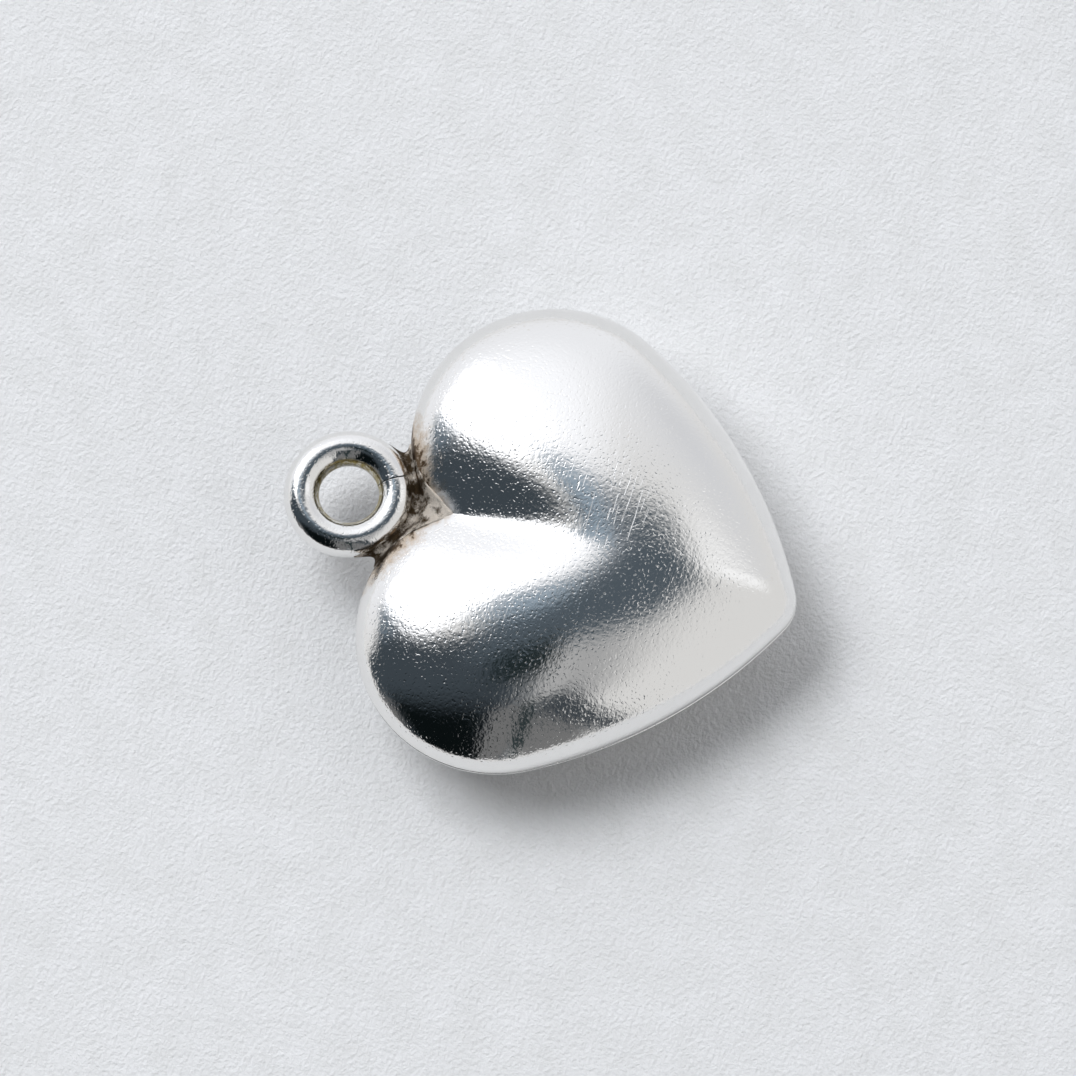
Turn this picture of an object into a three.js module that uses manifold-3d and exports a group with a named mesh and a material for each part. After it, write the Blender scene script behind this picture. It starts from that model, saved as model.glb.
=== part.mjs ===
// Puffed heart pendant: two domed silver halves, soldered together at a level seam, and a wire ring
// that lies in the plane of the seam, nestles in the notch between the lobes and is soldered to both.
// Millimetres. The pendant lies on its back: +X across the lobes, +Y from the tip to the ring, +Z up.
// Lengths along the heart are taken from the centre of the tip's round. The finished pendant is moved
// so that the origin is under its middle, level with its lowest point.

import * as THREE from 'three';
import { mergeVertices } from 'three/addons/utils/BufferGeometryUtils.js';
import Module from 'manifold-3d';

// Heart outline, seen from above
const LOBE_RADIUS = 5.7; // round of each lobe
const LOBE_SPACING = 8.2; // between the centres of the two lobes
const LOBE_FROM_TIP = 9.5; // line of the lobe centres
const SIDE_RADIUS = 20; // gentle bow of each side, running smoothly into lobe and tip
const TIP_RADIUS = 1.7; // round of the tip

// Domed halves
const SHEET = 0.4; // thickness of the stamped sheet
const DOME_HEIGHT = 3.05; // rim to crown of one half, where no crease lowers it
const CROWN_FROM_TIP = 7.1; // middle of the crown
const CROWN_WIDTH = 20.4; // the dome's own oval, which the heart outline fades into going up
const CROWN_LENGTH = 14;
const CROWN_FADE = 1.2; // power of the fade: higher leaves the heart outline sooner
const SHOULDER = 0.35; // how much fuller the lobe ends are, halfway up
const SHOULDER_POWER = 2.5; // higher keeps the fullness closer to the axis
const CREASE_DEPTH = 1.3; // depth of the valley between the lobes, at its end in the notch
const CREASE_START = 4.45; // the valley begins here, without depth
const CREASE_END = 14.2; // and would be deepest here, just past the notch
const CREASE_START_WIDTH = 1.42; // from the valley's floor to where most of it has gone, at its start
const CREASE_END_WIDTH = 3.7; // and at its end
const CREASE_FLOOR = 0.08; // round of the valley's floor
const CREASE_POWER = 1.5; // flanks of the valley: 1 is a straight fall to the floor, 2 a round one

// Wire ring
const WIRE = 1.42; // diameter of the wire
const RING_HOLE = 2.4; // clear diameter inside the ring
const RING_SEAT_GAP = 0.1; // solder gap where the ring bears on each lobe
const BUTT_GAP = 0.2; // gap between the wire's two ends, along its centre line
const BUTT_FROM_NOTCH = 29; // degrees from the ring's low point round to the wire's ends

// Solder
const SEAM_GAP = 0.1; // solder gap between the rims of the two halves
const SOLDER_RECESS = 0.05; // solder lies this far below the faces that it joins
const SOLDER_CLEARANCE = 0.03; // between the notch and butt solder and the metal beside it
const POOL_WIDTH = 3; // solder pool that fills the notch under the ring
const POOL_HEIGHT = 2.5;
const POOL_INTO_HEART = 1.6; // how far the pool's blank runs on past the notch and past the ring's edge
const POOL_INTO_RING = 0.12;
const WEB_LENGTH = 3.4; // blank of the solder web at each of the two seats of the ring
const WEB_WIDTH = 1.8;
const WEB_HEIGHT = 1;
const MENISCUS_RADIUS = 0.4; // hollow outer edge of each web, from ring to lobe

// Facets
const LOBE_STEPS = 22;
const SIDE_STEPS = 12;
const TIP_STEPS = 6;
const OUTER_DOME_STEPS = 14;
const INNER_DOME_STEPS = 8;
const RING_STEPS = 48;
const WIRE_SIDES = 16;
const BLOB_STEPS = 24;
const WELD = 1e-4; // vertices closer than this are one

// Places worked out from the sizes
const tipCentre = new THREE.Vector2(0, 0);
const lobeCentre = new THREE.Vector2(LOBE_SPACING / 2, LOBE_FROM_TIP);
const sideCentre = touchingCentre(
  tipCentre,
  SIDE_RADIUS - TIP_RADIUS,
  lobeCentre,
  SIDE_RADIUS - LOBE_RADIUS,
);
const ringRadius = (RING_HOLE + WIRE) / 2;
const ringOuterRadius = RING_HOLE / 2 + WIRE;
const seatReach = LOBE_RADIUS + RING_SEAT_GAP + ringOuterRadius;
const ringCentre = new THREE.Vector2(0, lobeCentre.y + Math.sqrt(seatReach ** 2 - lobeCentre.x ** 2));
const notchPoint = new THREE.Vector2(0, lobeCentre.y + Math.sqrt(LOBE_RADIUS ** 2 - lobeCentre.x ** 2));

/** Centre, left of the line from a to b, that lies at the given distances from the two points. */
function touchingCentre(a, distanceA, b, distanceB) {
  const line = b.clone().sub(a);
  const length = line.length();
  const along = (distanceA ** 2 - distanceB ** 2 + length ** 2) / (2 * length);
  const aside = Math.sqrt(distanceA ** 2 - along ** 2);
  const unit = line.divideScalar(length);
  const left = new THREE.Vector2(-unit.y, unit.x);
  return a.clone().addScaledVector(unit, along).addScaledVector(left, aside);
}

/** Heart outline grown by an offset, anticlockwise from the tip, with points on the axis at tip and notch. */
function heartOutline(offset) {
  const tipEnd = Math.atan2(tipCentre.y - sideCentre.y, tipCentre.x - sideCentre.x);
  const sideEnd = Math.atan2(lobeCentre.y - sideCentre.y, lobeCentre.x - sideCentre.x);
  const lobeEnd = Math.PI - Math.acos(lobeCentre.x / (LOBE_RADIUS + offset));
  const arcs = [
    [tipCentre, TIP_RADIUS, -Math.PI / 2, tipEnd, TIP_STEPS],
    [sideCentre, SIDE_RADIUS, tipEnd, sideEnd, SIDE_STEPS],
    [lobeCentre, LOBE_RADIUS, sideEnd, lobeEnd, LOBE_STEPS],
  ];
  const right = arcs.flatMap(([centre, radius, from, to, steps]) => {
    const arc = new THREE.EllipseCurve(centre.x, centre.y, radius + offset, radius + offset, from, to);
    return arc.getPoints(steps).slice(0, -1);
  });
  const notchY = lobeCentre.y + Math.sqrt((LOBE_RADIUS + offset) ** 2 - lobeCentre.x ** 2);
  const left = right.slice(1).reverse().map((point) => new THREE.Vector2(-point.x, point.y));
  return [...right, new THREE.Vector2(0, notchY), ...left];
}

/** Depth of the valley that runs from the notch towards the middle of the heart. */
function creaseDepth(x, y) {
  const along = Math.max(0, (y - CREASE_START) / (CREASE_END - CREASE_START));
  const width = CREASE_START_WIDTH + (CREASE_END_WIDTH - CREASE_START_WIDTH) * along ** 2;
  const aside = Math.hypot(x, CREASE_FLOOR) - CREASE_FLOOR;
  const deep = THREE.MathUtils.smoothstep(y, CREASE_START, CREASE_END);
  return CREASE_DEPTH * deep * Math.exp(-((aside / width) ** CREASE_POWER));
}

/** Point of a dome on the spoke to an outline point; tilt is 0 at the rim and 90 degrees at the crown. */
function domePoint(rimPoint, tilt, offset) {
  const spoke = new THREE.Vector2(rimPoint.x, rimPoint.y - CROWN_FROM_TIP);
  const unit = spoke.clone().normalize();
  const crownX = CROWN_WIDTH / 2 + offset;
  const crownY = CROWN_LENGTH / 2 + offset;
  const crownReach = 1 / Math.hypot(unit.x / crownX, unit.y / crownY);
  const heartShare = Math.cos(tilt) ** CROWN_FADE;
  const fullness = SHOULDER * Math.max(0, unit.y) ** SHOULDER_POWER * Math.sin(2 * tilt) ** 2;
  const reach = Math.cos(tilt) * (heartShare * spoke.length() + (1 - heartShare) * crownReach) + fullness;
  const x = reach * unit.x;
  const y = CROWN_FROM_TIP + reach * unit.y;
  const height = DOME_HEIGHT + offset - creaseDepth(x, y);
  return new THREE.Vector3(x, y, SEAM_GAP / 2 + height * Math.sin(tilt));
}

/** Rows of the upper dome from its crown point to its rim, grown by an offset. */
function domeRows(offset, steps) {
  const rim = heartOutline(offset);
  const crown = [domePoint(rim[0], Math.PI / 2, offset)];
  const rows = [crown];
  for (let step = 1; step <= steps; step += 1) {
    const tilt = (Math.PI / 2) * (1 - step / steps);
    rows.push(rim.map((point) => domePoint(point, tilt, offset)));
  }
  return rows;
}

/** The same rows below the seam, in the opposite order, so that they still run from top to bottom. */
function mirrored(rows) {
  return rows.map((row) => row.map((point) => new THREE.Vector3(point.x, point.y, -point.z))).reverse();
}

/** Closed skin over rows of points that run from top to bottom and, in each row, anticlockwise. */
function skin(rows) {
  const positions = rows.flat().flatMap((point) => point.toArray());
  const starts = [];
  let count = 0;
  for (const row of rows) {
    starts.push(count);
    count += row.length;
  }
  const closesOnItself = rows[0].length > 1;
  const bands = closesOnItself ? rows.length : rows.length - 1;
  const spokes = Math.max(rows[0].length, rows[1].length);
  const vertex = (row, spoke) => starts[row] + (spoke % rows[row].length);
  const index = [];
  for (let band = 0; band < bands; band += 1) {
    const upper = band;
    const lower = (band + 1) % rows.length;
    for (let spoke = 0; spoke < spokes; spoke += 1) {
      const a = vertex(upper, spoke);
      const b = vertex(lower, spoke);
      const c = vertex(lower, spoke + 1);
      const d = vertex(upper, spoke + 1);
      if (b !== c) index.push(a, b, c);
      if (a !== d) index.push(a, c, d);
    }
  }
  const geometry = new THREE.BufferGeometry();
  geometry.setAttribute('position', new THREE.Float32BufferAttribute(positions, 3));
  geometry.setIndex(index);
  geometry.computeVertexNormals();
  return geometry;
}

/** Centre line of a stretch of the ring's wire between two angles. */
class RingLine extends THREE.Curve {
  constructor(from, to) {
    super();
    this.from = from;
    this.to = to;
  }

  getPoint(t, target = new THREE.Vector3()) {
    const angle = THREE.MathUtils.lerp(this.from, this.to, t);
    return target.set(ringRadius * Math.cos(angle), ringCentre.y + ringRadius * Math.sin(angle), 0);
  }
}

/** Round wire bent along the ring between two angles, cut square at both ends. */
function bentWire(radius, from, to, steps) {
  const section = new THREE.Shape().absarc(0, 0, radius, 0, 2 * Math.PI);
  return new THREE.ExtrudeGeometry(section, {
    extrudePath: new RingLine(from, to),
    steps,
    curveSegments: WIRE_SIDES / 2,
  });
}

/** Rounded blank with the given full sizes, turned about the vertical. */
function blob(centre, length, width, height, turn) {
  const geometry = new THREE.SphereGeometry(0.5, BLOB_STEPS, BLOB_STEPS / 2);
  geometry.rotateX(Math.PI / 2);
  geometry.scale(length, width, height);
  geometry.rotateZ(turn);
  geometry.translate(centre.x, centre.y, 0);
  return geometry;
}

const wasm = await Module();
wasm.setup();

/** Closed geometry as a solid that can be joined and cut. */
function solidOf(geometry) {
  const bare = geometry.clone();
  bare.deleteAttribute('normal');
  bare.deleteAttribute('uv');
  const welded = mergeVertices(bare, WELD);
  return new wasm.Manifold(new wasm.Mesh({
    numProp: 3,
    vertProperties: welded.attributes.position.array,
    triVerts: Uint32Array.from(welded.index.array),
  }));
}

/** Solid as a geometry. */
function geometryOf(solid) {
  const { numProp, vertProperties, triVerts } = solid.getMesh();
  const positions = [];
  for (let start = 0; start < vertProperties.length; start += numProp) {
    positions.push(...vertProperties.slice(start, start + 3));
  }
  const geometry = new THREE.BufferGeometry();
  geometry.setAttribute('position', new THREE.Float32BufferAttribute(positions, 3));
  geometry.setIndex([...triVerts]);
  geometry.computeVertexNormals();
  return geometry;
}

/** Rows of one half from the crown of its outer face over the rim to the crown of its inner face. */
function shellRows() {
  return [...domeRows(0, OUTER_DOME_STEPS), ...domeRows(-SHEET, INNER_DOME_STEPS).reverse()];
}

/** Flat frame of solder that fills the gap between the two rims. */
function seamSolder() {
  const ring = (offset, z) => heartOutline(offset).map((point) => new THREE.Vector3(point.x, point.y, z));
  const top = SEAM_GAP / 2;
  return skin([
    ring(-SOLDER_RECESS, top),
    ring(-SOLDER_RECESS, -top),
    ring(-SHEET, -top),
    ring(-SHEET, top),
  ]);
}

/** Upright rod that cuts the hollow outer edge of the web on one side. */
function meniscus(side) {
  const centre = touchingCentre(
    ringCentre,
    ringOuterRadius + MENISCUS_RADIUS,
    lobeCentre,
    LOBE_RADIUS + MENISCUS_RADIUS,
  );
  const radius = MENISCUS_RADIUS + SOLDER_CLEARANCE;
  const rod = new THREE.CylinderGeometry(radius, radius, POOL_HEIGHT, BLOB_STEPS);
  rod.rotateX(Math.PI / 2);
  rod.translate(side * centre.x, centre.y, 0);
  return rod;
}

/** Pool of solder in the notch with a web at each seat of the ring, cut to the heart and the ring. */
function notchSolder() {
  const poolStart = notchPoint.y - POOL_INTO_HEART;
  const poolEnd = ringCentre.y - ringOuterRadius + POOL_INTO_RING;
  const poolCentre = new THREE.Vector2(0, (poolStart + poolEnd) / 2);
  let solder = solidOf(blob(poolCentre, POOL_WIDTH, poolEnd - poolStart, POOL_HEIGHT, 0));
  for (const side of [1, -1]) {
    const lobe = new THREE.Vector2(side * lobeCentre.x, lobeCentre.y);
    const towardRing = ringCentre.clone().sub(lobe).normalize();
    const seat = lobe.clone().addScaledVector(towardRing, LOBE_RADIUS + RING_SEAT_GAP / 2);
    const turn = towardRing.angle() - Math.PI / 2;
    solder = solder.add(solidOf(blob(seat, WEB_LENGTH, WEB_WIDTH, WEB_HEIGHT, turn)));
  }
  const upper = domeRows(SOLDER_CLEARANCE, OUTER_DOME_STEPS);
  const heart = solidOf(skin([...upper, ...mirrored(upper)]));
  const torus = new THREE.TorusGeometry(ringRadius, WIRE / 2 + SOLDER_CLEARANCE, WIRE_SIDES, RING_STEPS);
  torus.translate(ringCentre.x, ringCentre.y, 0);
  const cutters = [heart, solidOf(torus), solidOf(meniscus(1)), solidOf(meniscus(-1))];
  return geometryOf(cutters.reduce((rest, cutter) => rest.subtract(cutter), solder));
}

const buttAngle = THREE.MathUtils.degToRad(BUTT_FROM_NOTCH - 90);
const halfButt = BUTT_GAP / 2 / ringRadius;
const halfButtSolder = halfButt - SOLDER_CLEARANCE / (RING_HOLE / 2);

const polishedSilver = { color: 0xe3e4e6, roughness: 0.16, metalness: 1 };
const silverSolder = { color: 0xb9b4a8, roughness: 0.35, metalness: 1 };
const tarnishedSolder = { color: 0x6e5a43, roughness: 0.5, metalness: 0.9 };

function piece(name, geometry, finish) {
  const mesh = new THREE.Mesh(geometry, new THREE.MeshStandardMaterial(finish));
  mesh.name = name;
  return mesh;
}

const fullTurn = 2 * Math.PI;
const pendant = new THREE.Group();
pendant.add(
  piece('front_shell', skin(shellRows()), polishedSilver),
  piece('back_shell', skin(mirrored(shellRows())), polishedSilver),
  piece('seam_solder', seamSolder(), silverSolder),
  piece(
    'hanging_ring',
    bentWire(WIRE / 2, buttAngle + halfButt, buttAngle - halfButt + fullTurn, RING_STEPS),
    polishedSilver,
  ),
  piece(
    'ring_butt_solder',
    bentWire(WIRE / 2 - SOLDER_RECESS, buttAngle - halfButtSolder, buttAngle + halfButtSolder, 1),
    silverSolder,
  ),
  piece('notch_solder', notchSolder(), tarnishedSolder),
);

const box = new THREE.Box3().setFromObject(pendant);
pendant.position.set(0, -(box.min.y + box.max.y) / 2, -box.min.z);

export default pendant;
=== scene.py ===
"""Puffed silver heart pendant: the dressed pieces, their finishes and the table they are shown on.

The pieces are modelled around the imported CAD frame, in metres, with +Z up, +Y from the heart's tip to its
hanging ring and the seam between the two halves level. Lengths along the heart are taken from the centre of
the tip's round, as in the CAD model.
"""

from math import asin, atan2, cos, exp, hypot, log, pi, radians, sin, sqrt
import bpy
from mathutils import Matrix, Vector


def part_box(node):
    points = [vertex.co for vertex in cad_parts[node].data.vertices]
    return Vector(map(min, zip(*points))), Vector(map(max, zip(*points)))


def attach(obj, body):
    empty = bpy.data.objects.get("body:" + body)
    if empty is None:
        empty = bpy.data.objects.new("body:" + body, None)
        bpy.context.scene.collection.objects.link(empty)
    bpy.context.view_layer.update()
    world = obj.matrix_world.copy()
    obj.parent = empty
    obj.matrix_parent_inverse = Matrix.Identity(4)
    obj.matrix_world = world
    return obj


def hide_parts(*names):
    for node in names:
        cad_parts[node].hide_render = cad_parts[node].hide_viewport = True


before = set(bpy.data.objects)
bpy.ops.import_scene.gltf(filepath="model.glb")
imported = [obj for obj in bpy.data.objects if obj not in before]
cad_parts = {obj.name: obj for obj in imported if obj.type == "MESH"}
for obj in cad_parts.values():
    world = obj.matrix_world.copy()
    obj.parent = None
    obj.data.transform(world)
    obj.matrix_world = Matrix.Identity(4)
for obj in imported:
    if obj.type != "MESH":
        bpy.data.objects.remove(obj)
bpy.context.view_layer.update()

from types import SimpleNamespace
from typing import NamedTuple

import bpy
from mathutils import Matrix, Vector, noise

bl_info = {
    "name": "Puffed heart pendant",
    "version": (1, 0, 0),
    "blender": (4, 5, 0),
    "location": "3D View > Sidebar > Pendant",
    "description": "Models a hollow silver heart pendant with a soldered ring, and the table it is shown on",
    "category": "Object",
}

MM = 0.001

# Mesh steps
SPOKES = 384
DOME_ROWS = 76
WIRE_SIDES = 64
RING_STEPS = 300
BUTT_STEPS = 3
RIM_SEGMENTS = 3
END_SEGMENTS = 4
SOLDER_ALONG = 150
SOLDER_ACROSS = 60
EDGE_HALVINGS = 30
HEIGHT_HALVINGS = 20
# How much closer together the heart's spokes stand where its outline turns fastest
CROWDING = 0.35
# Points closer than this are one, on a bevelled piece and on the notch solder
SAME_POINT = 1e-4 * MM
SAME_SOLDER_POINT = 0.002 * MM
# Counts as zero where the whole is 1, as on the unit ball that a half is pressed from
NEARLY_ZERO = 1e-4
# Edges that turn by less than this are shaded smooth
SMOOTH_BELOW = radians(40)
SMOOTH_SOLDER_BELOW = radians(60)


def linear(hex_colour):
    """Linear RGBA of an sRGB hex colour."""
    parts = [int(hex_colour[i:i + 2], 16) / 255 for i in (1, 3, 5)]
    return [c / 12.92 if c <= 0.04045 else ((c + 0.055) / 1.055) ** 2.4 for c in parts] + [1.0]


def length(name, description, millimetres):
    """A length that a user may change."""
    return bpy.props.FloatProperty(
        name=name, description=description, default=millimetres * MM, unit="LENGTH", precision=5)


def turn(name, description, degrees):
    """An angle that a user may change."""
    return bpy.props.FloatProperty(
        name=name, description=description, default=radians(degrees), unit="ROTATION")


def share(name, description, value, unit="NONE"):
    """A plain number that a user may change."""
    return bpy.props.FloatProperty(name=name, description=description, default=value, unit=unit, precision=3)


def colour(name, description, hex_colour):
    """A colour that a user may change."""
    return bpy.props.FloatVectorProperty(
        name=name, description=description, default=linear(hex_colour),
        size=4, subtype="COLOR", min=0, max=1)


class HeartSizes(bpy.types.PropertyGroup):
    """Sizes of the two domed halves and the seam between them."""

    lobe_radius: length("Lobe radius", "Round of each lobe", 5.7)
    lobe_spacing: length("Lobe spacing", "Between the centres of the two lobes", 8.2)
    lobe_from_tip: length("Lobes from tip", "From the tip's centre to the line of the lobe centres", 9.5)
    side_radius: length("Side radius", "Bow of each side", 20)
    tip_radius: length("Tip radius", "Round of the tip", 1.7)
    sheet: length("Sheet", "Thickness of the pressed sheet", 0.4)
    dome_height: length("Dome height", "Rim to crown of one half", 3.05)
    crown_from_tip: length("Crown from tip", "Middle of the crown", 7.1)
    crown_width: length("Crown width", "Width of the oval that the outline fades into", 20.4)
    crown_length: length("Crown length", "Length of the oval that the outline fades into", 14)
    crown_fade: share("Crown fade", "Power of the fade from the outline to the oval", 1.2)
    shoulder: length("Shoulder", "How much fuller the lobe ends are, halfway up", 0.35)
    shoulder_power: share("Shoulder power", "Higher keeps the fullness closer to the axis", 2.5)
    crease_depth: length("Crease depth", "Depth of the valley between the lobes", 1.3)
    crease_start: length("Crease start", "Where the valley begins, without depth", 4.45)
    crease_end: length("Crease end", "Where the valley would be deepest", 14.2)
    crease_start_width: length("Crease start width", "Half-width of the valley at its start", 1.42)
    crease_end_width: length("Crease end width", "Half-width of the valley at its end", 3.7)
    crease_floor: length("Crease floor", "Round of the valley's floor", 0.08)
    crease_power: share("Crease power", "1 gives the valley straight flanks, 2 round ones", 1.5)
    seam_gap: length("Seam gap", "Solder gap between the two rims", 0.1)
    rim_round: length("Rim round", "Round of each rim's outer edge", 0.045)
    seam_recess: length("Seam recess", "How far the seam's solder lies below the silver", 0.05)


class RingSizes(bpy.types.PropertyGroup):
    """Sizes of the hanging ring and of the solder that holds it."""

    wire: length("Wire", "Diameter of the wire", 1.42)
    hole: length("Hole", "Clear diameter inside the ring", 2.4)
    seat_gap: length("Seat gap", "Solder gap where the ring bears on each lobe", 0.1)
    butt_gap: length("Butt gap", "Gap between the wire's ends along its centre line", 0.05)
    butt_turn: turn("Butt turn", "From the ring's low point round to the wire's ends", 29)
    end_round: length("End round", "Round of the wire's cut ends", 0.003)
    pool_radius: length("Pool radius", "Round of the solder pool in the notch", 0.85)
    pool_inset: length("Pool inset", "From the notch to the middle of the pool", 0.35)
    solder_draw: length("Solder draw", "How far the solder is drawn up the lobes", 0.14)
    ring_draw: length("Ring draw", "How far the solder is drawn up the ring", 0.07)
    web_draw: length("Web draw", "How far the solder is drawn out between ring and lobes", 0.3)
    web_height: length("Web height", "How thick that drawn-out solder is, each way from the seam", 0.32)
    solder_sink: length("Solder sink", "How soon the solder ends on the silver", 0.02)
    solder_reach: length("Solder reach", "How far the solder runs on inside ring and heart", 0.34)
    solder_lumps: length("Solder lumps", "Unevenness of the notch solder", 0.035)
    heart_stain: length("Heart stain", "How far the brown tarnish reaches over the heart", 2.6)
    ring_stain: length("Ring stain", "How far the brown tarnish reaches over the ring", 0.7)


class Finishes(bpy.types.PropertyGroup):
    """Colours of the silver, the solder and the paper."""

    silver: colour("Silver", "Tumbled silver", "#f3f2f0")
    film: colour("Film", "Thin tarnish, where the stain begins", "#d6c6b4")
    stain: colour("Stain", "Brown tarnish near the solder", "#5f4e3c")
    gold_tint: colour("Gold tint", "Tarnish inside the ring's hole", "#8f8253")
    seam: colour("Seam solder", "Satin solder between the halves", "#d5d1c8")
    solder: colour("Notch solder", "Dark tarnish on the notch solder", "#4a3c2a")
    solder_bare: colour("Bare solder", "Where the notch solder has been rubbed bright", "#e6dccf")
    paper: colour("Paper", "The sheet that the pendant lies on", "#e5e5e6")
    paper_shade: colour("Paper shade", "Where the paper's pulp is thicker", "#dddddd")


class StageSettings(bpy.types.PropertyGroup):
    """Where the camera stands, the paper and the light."""

    azimuth: turn("Azimuth", "Camera's bearing round the pendant", 290.5)
    elevation: turn("Elevation", "Camera's height above the horizon", 74)
    roll: turn("Roll", "Camera's turn about its own axis", -5)
    distance: length("Distance", "Camera to the middle of the picture", 667)
    lens: share("Lens", "Focal length in millimetres on a 36 mm sensor", 558, "CAMERA")
    aim_aside: length("Aim aside", "Middle of the picture, from the heart's axis", 0.012)
    aim_from_tip: length("Aim from tip", "Middle of the picture, from the tip's centre", 8.958)
    aim_above_seam: length("Aim above seam", "Middle of the picture, above the seam", 0.903)
    paper_side: length("Paper side", "Side of the sheet that the pendant lies on", 3000)
    lamp_width: length("Lamp width", "Width of the large lamp", 950)
    lamp_depth: length("Lamp depth", "Depth of the large lamp", 600)
    lamp_distance: length("Lamp distance", "From the pendant to the large lamp", 1300)
    lamp_to_top: share("Lamp to top", "Lean of the lamp to the picture's top, for each unit up", 0.43)
    lamp_to_left: share("Lamp to left", "Lean of the lamp to the picture's left, for each unit up", 0.58)
    lamp_power: share("Lamp power", "Strength of the large lamp, in watts", 11.8, "POWER")


def plain(settings):
    """The present values of a group of settings, quick to read."""
    return SimpleNamespace(**{key: getattr(settings, key) for key in settings.__annotations__})


class Heart:
    """The heart's outline and domes in the part's frame, from the sizes and from where the CAD nodes lie."""

    def __init__(self, settings):
        sizes = plain(settings)
        self.sizes = sizes
        low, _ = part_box("front_shell")
        self.tip = Vector((0.0, low.y + sizes.tip_radius))
        self.seam_height = low.z - sizes.seam_gap / 2
        self.lobe = self.tip + Vector((sizes.lobe_spacing / 2, sizes.lobe_from_tip))
        self.crown = self.tip + Vector((0.0, sizes.crown_from_tip))
        self.side = touching_centre(
            self.tip, sizes.side_radius - sizes.tip_radius,
            self.lobe, sizes.side_radius - sizes.lobe_radius)
        tip_end = self.tip + (self.tip - self.side).normalized() * sizes.tip_radius
        side_end = self.lobe + (self.lobe - self.side).normalized() * sizes.lobe_radius
        self.tip_end = self.bearing_of(tip_end)
        self.side_end = self.bearing_of(side_end)

    def bearing_of(self, point):
        """Bearing of a point from the middle of the crown."""
        return atan2(point.y - self.crown.y, point.x - self.crown.x)

    def rim_reach(self, bearing, offset):
        """From the middle of the crown to the outline, grown by an offset, at a bearing from the X axis."""
        right = Vector((abs(cos(bearing)), sin(bearing)))
        steep = atan2(right.y, right.x)
        if steep < self.tip_end:
            centre, radius = self.tip, self.sizes.tip_radius
        elif steep < self.side_end:
            centre, radius = self.side, self.sizes.side_radius
        else:
            centre, radius = self.lobe, self.sizes.lobe_radius
        toward = centre - self.crown
        along = toward.dot(right)
        aside_squared = toward.length_squared - along ** 2
        return along + sqrt((radius + offset) ** 2 - aside_squared)

    def rim_point(self, bearing, offset):
        """Point of the outline, grown by an offset."""
        reach = self.rim_reach(bearing, offset)
        return self.crown + reach * Vector((cos(bearing), sin(bearing)))

    def crease(self, x, y):
        """Depth of the valley that runs from the notch towards the middle of the heart."""
        sizes = self.sizes
        along = max(0.0, (y - self.tip.y - sizes.crease_start) / (sizes.crease_end - sizes.crease_start))
        width = sizes.crease_start_width + (sizes.crease_end_width - sizes.crease_start_width) * along ** 2
        aside = hypot(x, sizes.crease_floor) - sizes.crease_floor
        eased = min(along, 1.0)
        deep = eased * eased * (3 - 2 * eased)
        return sizes.crease_depth * deep * exp(-((aside / width) ** sizes.crease_power))

    def dome_point(self, bearing, tilt):
        """Point of the upper dome's outer face; tilt is 0 at the rim and 90 degrees at the crown."""
        sizes = self.sizes
        unit = Vector((cos(bearing), sin(bearing)))
        oval = 1 / hypot(unit.x / (sizes.crown_width / 2), unit.y / (sizes.crown_length / 2))
        level = max(cos(tilt), 0.0)
        heart_share = level ** sizes.crown_fade
        fullness = sizes.shoulder * max(0.0, unit.y) ** sizes.shoulder_power * sin(2 * tilt) ** 2
        reach = level * (heart_share * self.rim_reach(bearing, 0.0) + (1 - heart_share) * oval) + fullness
        place = self.crown + reach * unit
        height = sizes.dome_height - self.crease(place.x, place.y)
        return Vector((place.x, place.y, sizes.seam_gap / 2 + height * sin(tilt)))


class Ring:
    """The ring's centre, in the plane of the seam, its radii, and the middle of the solder pool below it."""

    def __init__(self, settings, heart):
        sizes = plain(settings)
        self.sizes = sizes
        self.line = (sizes.hole + sizes.wire) / 2
        self.outer = sizes.hole / 2 + sizes.wire
        seat = heart.sizes.lobe_radius + sizes.seat_gap + self.outer
        self.centre = Vector((0.0, heart.lobe.y + sqrt(seat ** 2 - heart.lobe.x ** 2)))
        self.butt = sizes.butt_turn - pi / 2
        self.half_butt = sizes.butt_gap / 2 / self.line
        notch = heart.rim_point(pi / 2, 0.0)
        self.pool = Vector((notch.x, notch.y - sizes.pool_inset, heart.seam_height))


def touching_centre(a, distance_a, b, distance_b):
    """Centre, left of the line from a to b, that lies at the given distances from the two points."""
    line = b - a
    along = (distance_a ** 2 - distance_b ** 2 + line.length_squared) / (2 * line.length)
    aside = sqrt(distance_a ** 2 - along ** 2)
    unit = line.normalized()
    return a + unit * along + Vector((-unit.y, unit.x)) * aside


def joined(gaps, draw):
    """Gap to surfaces that run into each other; draw is the size of the rounded corner between them."""
    return -draw * log(sum(exp(-gap / draw) for gap in gaps))


def crowded(angle):
    """Bearing of a spoke, drawn closer to the notch or the tip, where the outline turns fastest."""
    return angle + CROWDING * sin(2 * angle)


def fresh_start():
    """Object mode with nothing selected."""
    if bpy.context.object and bpy.context.object.mode != "OBJECT":
        bpy.ops.object.mode_set(mode="OBJECT")
    bpy.ops.object.select_all(action="DESELECT")


def pick(piece, kind, chosen):
    """In edit mode, select the vertices or edges of the piece that pass a test, and nothing else."""
    bpy.ops.object.mode_set(mode="EDIT")
    bpy.ops.mesh.select_mode(type=kind)
    bpy.ops.mesh.select_all(action="DESELECT")
    bpy.ops.object.mode_set(mode="OBJECT")
    parts = piece.data.vertices if kind == "VERT" else piece.data.edges
    for part in parts:
        part.select = chosen(part)
    bpy.ops.object.mode_set(mode="EDIT")


def thicken(piece, thickness, offset):
    """Give a surface a thickness: inwards where the offset is -1, to both sides where it is 0."""
    bpy.ops.object.modifier_add(type="SOLIDIFY")
    wall = piece.modifiers[-1]
    wall.thickness = thickness
    wall.offset = offset
    bpy.ops.object.modifier_apply(modifier=wall.name)


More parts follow.
